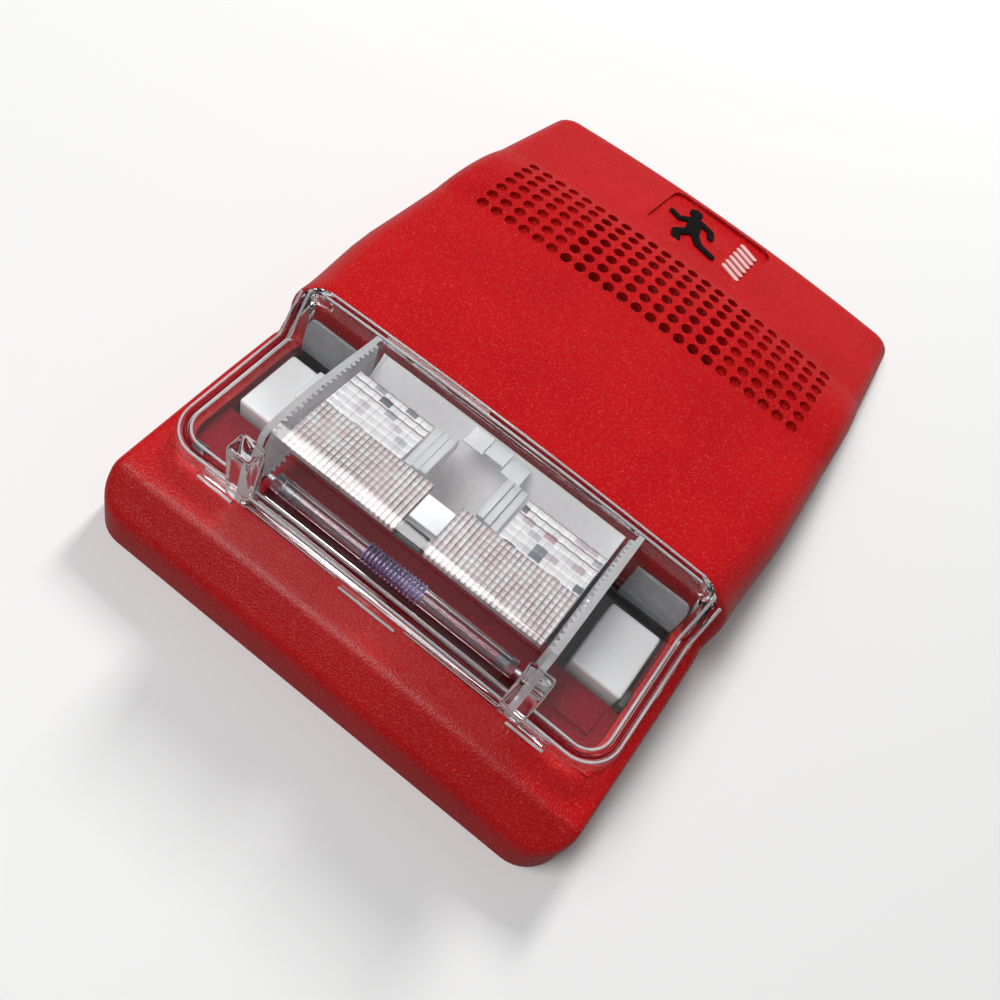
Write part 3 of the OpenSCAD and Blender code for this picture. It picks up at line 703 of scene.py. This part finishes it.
# strobe lens: tray, rim and flange
traySettings = {
    "half": 50.4, "from": 16.0, "to": 55.6, "radius": 8.0, "wall": 1.5,
    "profile": [(10, 15.6), (48.2, 16.0), (48.9, 17.0), (50.6, 21.5), (52.4, 25.0), (53.2, 26.3),
                (53.8, 27.0), (54.8, 27.3), (55.3, 27.2), (56, 26.6)],
    "rings": [0.3, 0.7, 1.2, 1.6, 2.0, 2.4, 2.9, 3.5], "flangeLevel": 12.4, "corner": 4.5,
    "window": (29.8, 19.4, 53.2),            # half width, front and rear of the hole under the dome
}


def sag(x):
    # how far the lens parts drop towards the sides, in mm
    return 1.7 * (x / halfWidth) ** 2


def trayTop(x, s):
    # height of the tray's skin, with the tall rear corners rounded off
    t = traySettings
    over = max(0.0, abs(x) - (t["half"] - t["corner"])) / t["corner"]
    corner = t["corner"] * (1 - math.sqrt(max(1 - min(over, 1.0) ** 2, 0.0))) * min(1.0, max(0.0, (s - 49.0) / 3.0))
    return ramp(t["profile"], s) - sag(x) - corner


def traySkin():
    t = traySettings
    bm = bmesh.new()
    face = roundedFace(bm, t["half"], t["from"], t["to"], t["radius"], 10)
    cuts = [48.2, 48.9, 49.7, 50.6, 51.5, 52.4, 53.2, 53.8, 54.8, 55.3]
    ringsAndCuts(bm, face, t["rings"], [-45 + 5 * k for k in range(19)], [22, 28, 34, 40, 45] + cuts)
    for v in bm.verts:
        x, s = v.co.x / mm, sAt(v.co.y)
        d = outlineDistance(x, s, t["half"], t["from"], t["to"] + 12, t["radius"])
        drop = 1.2 - math.sqrt(max(1.44 - max(1.2 - d, 0.0) ** 2, 0.0))
        bead = 0.45 * math.exp(-((d - 2.0) / 0.5) ** 2)      # raised line that follows the edge
        v.co.z = (trayTop(x, s) - drop + bead) * mm
    border = [e for e in bm.edges if e.is_boundary]
    border = [e for e in border if sAt((e.verts[0].co.y + e.verts[1].co.y) / 2) < t["to"] - 0.01]
    walls = bmesh.ops.extrude_edge_only(bm, edges=border)["geom"]
    for v in walls:
        if isinstance(v, bmesh.types.BMVert):
            x, s = v.co.x / mm, sAt(v.co.y)
            v.co.z = (t["flangeLevel"] - sag(x)) * mm if s < 54 else v.co.z - 3.0 * mm
    wide, front, rear = t["window"]
    for x in (-wide, wide):
        cutAt(bm, x=x)
    cutAt(bm, s=front)
    inside = []
    for f in bm.faces:
        centre = f.calc_center_median()
        if abs(centre.x) < wide * mm and front < sAt(centre.y) < rear:
            inside.append(f)
    bmesh.ops.delete(bm, geom=inside, context="FACES")
    bmesh.ops.remove_doubles(bm, verts=bm.verts, dist=1e-7)
    bmesh.ops.recalc_face_normals(bm, faces=bm.faces)
    faceUp(bm)
    bmesh.ops.solidify(bm, geom=bm.faces[:], thickness=t["wall"] * mm)
    return bm


finishPiece("lensTray", traySkin(), lensClear, "cover_assembly", ["strobe_lens"], 25)

# stepped flange with a notch in its middle, lying on the cover in front of the tray
flangeSettings = {"steps": [(7.4, 30.0, 16.0, 12.9), (31.0, 39.5, 14.7, 12.7)], "back": 17.4, "low": 12.45}
bm = bmesh.new()
for side in (-1, 1):
    for x0, x1, front, top in flangeSettings["steps"]:
        low, high = sorted((side * x0, side * x1))
        box(bm, low, high, front, flangeSettings["back"], flangeSettings["low"] - 0.4, top, 0.22)
box(bm, -6.6, 6.6, 14.8, flangeSettings["back"], 12.1, 12.9, 0.2)
finishPiece("lensFlange", bm, lensClear, "cover_assembly", (), 30)
print("lens tray and flange ready")

# thin bright beads that run round the tray's rim and along the flange: whitish half-clear rods, painted highlights
# standing in for the bright edge lines of the clear plastic
beadSettings = {"radius": 0.30, "insets": [0.75, 2.9], "flangeRadius": 0.26, "lineInset": 1.8, "lineDrop": 0.8}


def sweep(bm, path, radius):
    # round rod along a path of points, by extruding one ring from point to point
    ring = None
    for k, point in enumerate(path):
        ahead = (path[min(k + 1, len(path) - 1)] - path[max(k - 1, 0)]).normalized()
        side = ahead.cross(Vector((0, 0, 1))).normalized()
        up = side.cross(ahead)
        angles = [math.pi * j / 3 for j in range(6)]
        fresh = [bm.verts.new(point + (side * math.cos(a) + up * math.sin(a)) * radius) for a in angles]
        if ring:
            for j in range(6):
                bm.faces.new((ring[j], ring[(j + 1) % 6], fresh[(j + 1) % 6], fresh[j]))
        else:
            bm.faces.new(list(reversed(fresh)))
        ring = fresh
    bm.faces.new(ring)


def rimPath(inset):
    # from the rear of one side, round the front corners, to the rear of the other
    t = traySettings
    half, front, radius = t["half"] - inset, t["from"] + inset, t["radius"] - inset
    points = [(-half, s) for s in (53.6, 52.4, 51.5, 50.6, 49.7, 48.9, 48.2, 44, 38, 32, 27)]
    for a in [0.157 * k for k in range(11)]:
        points.append((-half + radius * (1 - math.cos(a)), front + radius * (1 - math.sin(a))))
    points += [(-36 + 4 * k, front) for k in range(10)]
    points = points + [(-x, s) for x, s in reversed(points[:-1])]
    return [Vector((x * mm, yAt(s), (trayTop(x, s) - (0.25 if inset < 1 else 0.0)) * mm)) for x, s in points]


def acrossPath(s, z):
    # line across the raised rear rim
    return [Vector((x * mm, yAt(s), (z - sag(x)) * mm)) for x in [-44 + 4 * k for k in range(23)]]


bm = bmesh.new()
thin, thick = beadSettings["flangeRadius"] * mm, beadSettings["radius"] * mm
for inset in beadSettings["insets"]:
    sweep(bm, rimPath(inset), thick)
for x0, x1, front, top in flangeSettings["steps"]:
    for side in (-1, 1):
        places = (x0 + 0.3, (x0 + x1) / 2, x1 - 0.3)
        row = [Vector((side * x * mm, yAt(front + 0.25), (top - 0.1) * mm)) for x in places]
        sweep(bm, row[::side], thin)
sweep(bm, [Vector((x * mm, yAt(15.05), 12.8 * mm)) for x in (-6.3, 0, 6.3)], thin)
for s, z in ((53.9, 27.1), (55.2, 27.15)):
    sweep(bm, acrossPath(s, z), thin)
finishPiece("rimHighlightBeads", bm, edgeHighlightClear, "cover_assembly", (), 60)
bm = bmesh.new()                              # a dark rod inside the clear rim, seen as a dark line between the beads: painted shade and reflection of the red wall through the rim
lineDrop = Vector((0, 0, beadSettings["lineDrop"] * mm))
sweep(bm, [point - lineDrop for point in rimPath(beadSettings["lineInset"])], thick)
sweep(bm, acrossPath(54.5, 26.6), thick)
finishPiece("rimShadeLine", bm, shadedRed, "cover_assembly", (), 60)

# strobe lens: tall dome with its prisms
domeSettings = {
    "half": 29.8, "wall": 1.3,
    "side": [(17.2, 12.6), (17.5, 15.0), (19.2, 21.4), (21.0, 27.2), (21.6, 28.5), (22.8, 29.4),
             (26.0, 29.9), (30.0, 29.9), (36.0, 29.5), (44.0, 28.4), (51.0, 27.2), (53.4, 26.9)],
    "sideWall": 1.2, "teeth": 22, "toothFrom": 22.5, "toothTo": 51.5, "toothDepth": 0.9,
}


def domeBand():
    d = domeSettings
    bm = bmesh.new()
    verts = [bm.verts.new((-d["half"] * mm, yAt(s), z * mm)) for s, z in d["side"]]
    edges = [bm.edges.new(pair) for pair in zip(verts, verts[1:])]
    made = bmesh.ops.extrude_edge_only(bm, edges=edges)["geom"]
    far = [v for v in made if isinstance(v, bmesh.types.BMVert)]
    bmesh.ops.translate(bm, vec=(2 * d["half"] * mm, 0, 0), verts=far)
    for x in (-20, -10, 0, 10, 20):
        cutAt(bm, x=x)
    bmesh.ops.recalc_face_normals(bm, faces=bm.faces)
    faceUp(bm)
    bmesh.ops.solidify(bm, geom=bm.faces[:], thickness=d["wall"] * mm)
    return bm


finishPiece("domeBand", domeBand(), lensClear, "cover_assembly", (), 30)


def toothedSide(side):
    # upright side wall whose inner face is cut in a zigzag of small prisms
    d = domeSettings
    bm = bmesh.new()
    outline = [(17.2, 13.0)] + [(s, z - 0.2) for s, z in d["side"][2:]] + [(53.4, 15.2), (49, 14.8), (20, 14.8)]
    verts = [bm.verts.new((side * 30.0 * mm, yAt(s), z * mm)) for s, z in outline]
    thicken(bm, bm.faces.new(verts), (side * d["sideWall"] * mm, 0, 0))
    step = (d["toothTo"] - d["toothFrom"]) / (2 * d["teeth"])
    for k in range(2 * d["teeth"] + 1):
        cutAt(bm, s=d["toothFrom"] + step * k)
    for v in bm.verts:
        s = sAt(v.co.y)
        if abs(v.co.x) < 30.5 * mm and d["toothFrom"] - 0.01 <= s <= d["toothTo"] + 0.01:
            k = round((s - d["toothFrom"]) / step)
            v.co.x -= side * (d["toothDepth"] if k % 2 else 0.0) * mm
    return bm


for side, word in ((-1, "Left"), (1, "Right")):
    finishPiece("toothedWall" + word, toothedSide(side), wallClear, "cover_assembly", (), 20)


def ribPlate(bm, x0, x1, s0, s1, top, pitchX, pitchS, deepX, deepS, thick, tiltS=0.0):
    # plate whose top is ribbed both ways, closed underneath
    nx, ns = max(1, round((x1 - x0) / pitchX)), max(1, round((s1 - s0) / pitchS))
    made = bmesh.ops.create_grid(bm, x_segments=2 * nx, y_segments=2 * ns, size=0.5)["verts"]
    for v in made:
        i, j = round((v.co.x + 0.5) * 2 * nx), round((v.co.y + 0.5) * 2 * ns)
        x, s = x0 + (x1 - x0) * i / (2 * nx), s0 + (s1 - s0) * j / (2 * ns)
        z = top - (deepX if i % 2 else 0) - (deepS if j % 2 else 0) + tiltS * (s - s0)
        v.co = (x * mm, yAt(s), z * mm)
    border = list({e for v in made for e in v.link_edges if e.is_boundary})
    walls = bmesh.ops.extrude_edge_only(bm, edges=border)["geom"]
    low = [v for v in walls if isinstance(v, bmesh.types.BMVert)]
    for v in low:
        v.co.z = (top - thick) * mm
    rim = [e for e in walls if isinstance(e, bmesh.types.BMEdge) and e.is_boundary]
    bmesh.ops.contextual_create(bm, geom=low + rim)


prismSettings = {
    # x from, x to, length from, to, top, pitch across, pitch along, depth across, depth along, thickness, tilt
    "frontRibs": (3.2, 28.04, 23.2, 34.18, 27.9, 1.08, 1.22, 0.34, 0.16, 1.4, 0.03),
    "rearCubes": (10.8, 28.0, 34.4, 44.6, 27.7, 2.4, 1.7, 0.22, 0.22, 1.4, -0.10),
}
for name, material in (("frontRibs", prismRibs), ("rearCubes", prismCubes)):
    x0, x1, *rest = prismSettings[name]
    bm = bmesh.new()
    for side in (-1, 1):
        low, high = sorted((side * x0, side * x1))
        ribPlate(bm, low, high, *rest)
    finishPiece(name, bm, material, "cover_assembly", ["prism_optics"], 12)

# three clear steps on each side, between the prism blocks: x, width and top
stepSettings = {"places": [(6.3, 1.5, 28.6), (7.9, 1.5, 28.1), (9.5, 1.5, 27.6)], "s": (34.6, 44.9), "low": 24.5}
bm = bmesh.new()
for side in (-1, 1):
    for x, width, top in stepSettings["places"]:
        low, high = side * x - width / 2, side * x + width / 2
        box(bm, low, high, *stepSettings["s"], stepSettings["low"], top, 0.12, 1)
finishPiece("lensSteps", bm, frostClear, "cover_assembly", (), 30)

# white square in the middle and, in front of it, a black block that stands in for the dark gap, painted shade: x,
# length and z, each from and to
tileSettings = {"tile": (-3.1, 3.1, 27.0, 32.6, 26.6, 27.6), "gap": (-3.1, 2.4, 23.4, 26.8, 25.4, 26.2)}
bm = bmesh.new()
box(bm, *tileSettings["tile"], 0.25, 2)
finishPiece("centreTile", bm, whitePlastic, "cover_assembly", (), 30)
bm = bmesh.new()
box(bm, *tileSettings["gap"], 0.2, 1)
finishPiece("centreGapShade", bm, blackPlastic, "cover_assembly", (), 30)

# three clear facets under the rear rim
facetSettings = {"x": (-5.6, -1.2, 3.2, 7.6), "s": (46.6, 51.0), "tops": (25.9, 25.4, 24.9), "thick": 0.5}
bm = bmesh.new()
for k, top in enumerate(facetSettings["tops"]):
    x0, x1 = facetSettings["x"][k], facetSettings["x"][k + 1] - 0.12
    s0, s1 = facetSettings["s"][0] + 0.9 * (k % 2), facetSettings["s"][1] + 0.4 * (k % 2)
    box(bm, x0, x1, s0, s1, top - facetSettings["thick"], top, 0.06, 1)
finishPiece("rimFacets", bm, frostClear, "cover_assembly", (), 30)

# chunky blocks at the ends of the tube
endBlockSettings = {"x": (28.2, 33.6), "s": (15.4, 20.2), "z": (12.6, 28.2)}
bm = bmesh.new()
for side in (-1, 1):
    x0, x1 = sorted((side * endBlockSettings["x"][0], side * endBlockSettings["x"][1]))
    box(bm, x0, x1, *endBlockSettings["s"], *endBlockSettings["z"], 0.9, 3)
finishPiece("lensEndBlocks", bm, lensClear, "cover_assembly", (), 30)
print("dome, prisms, steps and end blocks ready")

# reflector bowl, back panels, side blocks
reflectorSettings = {
    "half": 27.6, "from": 34.7, "to": 52.2, "floor": 7.0, "frontEnd": 38.0, "frontRise": 1.6,
    "backFrom": 37.5, "backRise": 17.2, "sideRise": 5.0, "wall": 0.7, "lip": 0.3,
}


def bowlHeight(x, s):
    r = reflectorSettings
    front = max(0.0, (r["frontEnd"] - s) / (r["frontEnd"] - r["from"])) ** 2
    back = max(0.0, (s - r["backFrom"]) / (r["to"] - r["backFrom"])) ** 1.35
    side = (abs(x) / r["half"]) ** 4
    return r["floor"] + r["frontRise"] * front + r["backRise"] * back + r["sideRise"] * side * (1 - back)


r = reflectorSettings
bm = bmesh.new()
bmesh.ops.create_grid(bm, x_segments=56, y_segments=40, size=0.5)
for v in bm.verts:
    x, s = 2 * r["half"] * v.co.x, r["from"] + (r["to"] - r["from"]) * (v.co.y + 0.5)
    v.co = (x * mm, yAt(s), bowlHeight(x, s) * mm)
faceUp(bm)
bmesh.ops.solidify(bm, geom=bm.faces[:], thickness=r["wall"] * mm)
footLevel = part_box("reflector")[0].z / mm
for side in (-1, 1):                          # end cheeks that stand on the base and carry the bowl
    x = side * r["half"]
    steps = [r["from"] + (r["to"] - r["from"]) * k / 12 for k in range(13)]
    outline = [(r["from"], footLevel), (r["to"], footLevel)]
    outline += [(s, bowlHeight(x, s) + r["lip"]) for s in reversed(steps)]
    cheek = bm.faces.new([bm.verts.new((x * mm, yAt(s), z * mm)) for s, z in outline])
    thicken(bm, cheek, (side * r["wall"] * mm, 0, 0))
finishPiece("reflectorBowl", bm, reflectorCoat, "base_assembly", ["reflector"], 40)

panelSettings = {"x": (33.4, 46.0), "low": (51.0, 9.8), "high": (52.5, 19.4), "round": 1.8, "thick": 0.6}
bm = bmesh.new()
for side in (-1, 1):
    p = panelSettings
    x0, x1 = p["x"]
    corner = [(x0, 0.0), (x1, 0.0)]           # x, and how far up the leaning panel
    for a in (0, 0.4, 0.8, 1.2, 1.57):
        corner.append((x1 - p["round"] * (1 - math.cos(a)), 1.0 - 0.27 * (1 - math.sin(a))))
    corner.append((x0, 1.0))
    verts = []
    for x, t in corner:
        s, z = (low + (high - low) * t for low, high in zip(p["low"], p["high"]))
        verts.append(bm.verts.new((side * x * mm, yAt(s), z * mm)))
    thicken(bm, bm.faces.new(verts), (0, p["thick"] * mm, 0))
finishPiece("backPanels", bm, panelGrey, "base_assembly", ["back_panel"], 35)

blockSettings = {
    "x": (33.9, 45.2), "s": (32.0, 47.4), "z": (3.0, 12.2), "edge": 0.7,
    "tab": (33.9, 38.4, 39.5, 47.4, 12.0, 13.4),
}
bm = bmesh.new()
for side in (-1, 1):
    b = blockSettings
    x0, x1 = sorted((side * b["x"][0], side * b["x"][1]))
    box(bm, x0, x1, *b["s"], *b["z"], b["edge"], 4)
x0, x1, *rest = b["tab"]                      # the left block carries a raised step
box(bm, -x1, -x0, *rest, 0.35, 3)
finishPiece("sideBlocks", bm, whitePlastic, "base_assembly", ["side_blocks"], 40)

# small things on the pocket floor: x from, to, length from, to, z from, to
ledgeBlock = (35.6, 44.2, 23.6, 30.0, 9.0, 10.2)
hookSettings = [(45.2, 46.4, 30.6, 34.2, 9.3, 12.8), (-44.4, -41.6, 18.4, 20.6, 9.3, 12.4)]
bm = bmesh.new()
for hook in hookSettings:
    box(bm, *hook, 0.35, 2)
finishPiece("coverHooks", bm, blackPlastic, "cover_assembly", (), 30)
# the ledge is in the darker red: painted shade
bm = bmesh.new()
box(bm, *ledgeBlock, 0.3, 2)
finishPiece("frontLedge", bm, shadedRed, "cover_assembly", (), 30)
print("reflector, panels and blocks ready")

# carried-over pieces get their finish
finishes = {
    "rear_base": basePlastic, "circuit_board": boardMask, "board_screws": zincSteel, "terminal_block": blackPlastic,
    "terminal_clamps": brassPlate, "terminal_screw_1": zincSteel, "terminal_screw_2": zincSteel,
    "terminal_screw_3": zincSteel, "terminal_screw_4": zincSteel, "candela_switch": blackPlastic,
    "candela_slider": whitePlastic, "level_switch": blackPlastic, "level_slider": whitePlastic,
    "flash_capacitor": sleeveInk, "filter_capacitors": sleeveInk, "inductor_core": ferriteGrey,
    "inductor_winding": copperTurns, "trigger_transformer": tapeYellow, "control_chips": blackPlastic,
    "small_components": chipCeramic,
    "flash_tube": tubeGlass, "tube_electrodes": zincSteel, "trigger_wire": violetTurns,
    "tube_holders": blackPlastic,
    "sounder_case": blackPlastic, "sounder_magnet": ferriteGrey, "sounder_coil": coilTurns,
    "sounder_diaphragm": rolledAluminium, "sounder_ring": blackPlastic, "sounder_gasket": softFoam,
    "sounder_screws": zincSteel, "figure_symbol": symbolInk, "bars_symbol": paleInk,
}
for node, material in finishes.items():
    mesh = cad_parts[node].data
    mesh.materials.clear()
    mesh.materials.append(material)
print("carried-over pieces finished")

# floor
floorSettings = {"size": 3.0, "low": (0.86, 0.86, 0.86), "high": (0.88, 0.88, 0.88), "bounce": (0.30, 0.29, 0.29)}
floorWhite, tree, shader = newMaterial("floorWhite")
place = tree.nodes.new("ShaderNodeTexCoord").outputs["Object"]
seen = tree.nodes.new("ShaderNodeMix")
seen.data_type = "RGBA"
path = tree.nodes.new("ShaderNodeLightPath")
thrown = mathNode(tree, "MAXIMUM", path.outputs["Is Diffuse Ray"], path.outputs["Is Glossy Ray"])
tree.links.new(thrown, seen.inputs[0])
surface = mixColour(tree, noiseNode(tree, place, 3.0), floorSettings["low"], floorSettings["high"])
tree.links.new(surface, seen.inputs[6])
seen.inputs[7].default_value = (*floorSettings["bounce"], 1)   # what the floor throws back on the object
tree.links.new(seen.outputs[2], shader.inputs["Base Color"])
shader.inputs["Roughness"].default_value = 0.55
bm = bmesh.new()
bmesh.ops.create_grid(bm, x_segments=1, y_segments=1, size=floorSettings["size"])
floor = looseObject("floor", bm)
floor.data.materials.append(floorWhite)
print("floor ready")
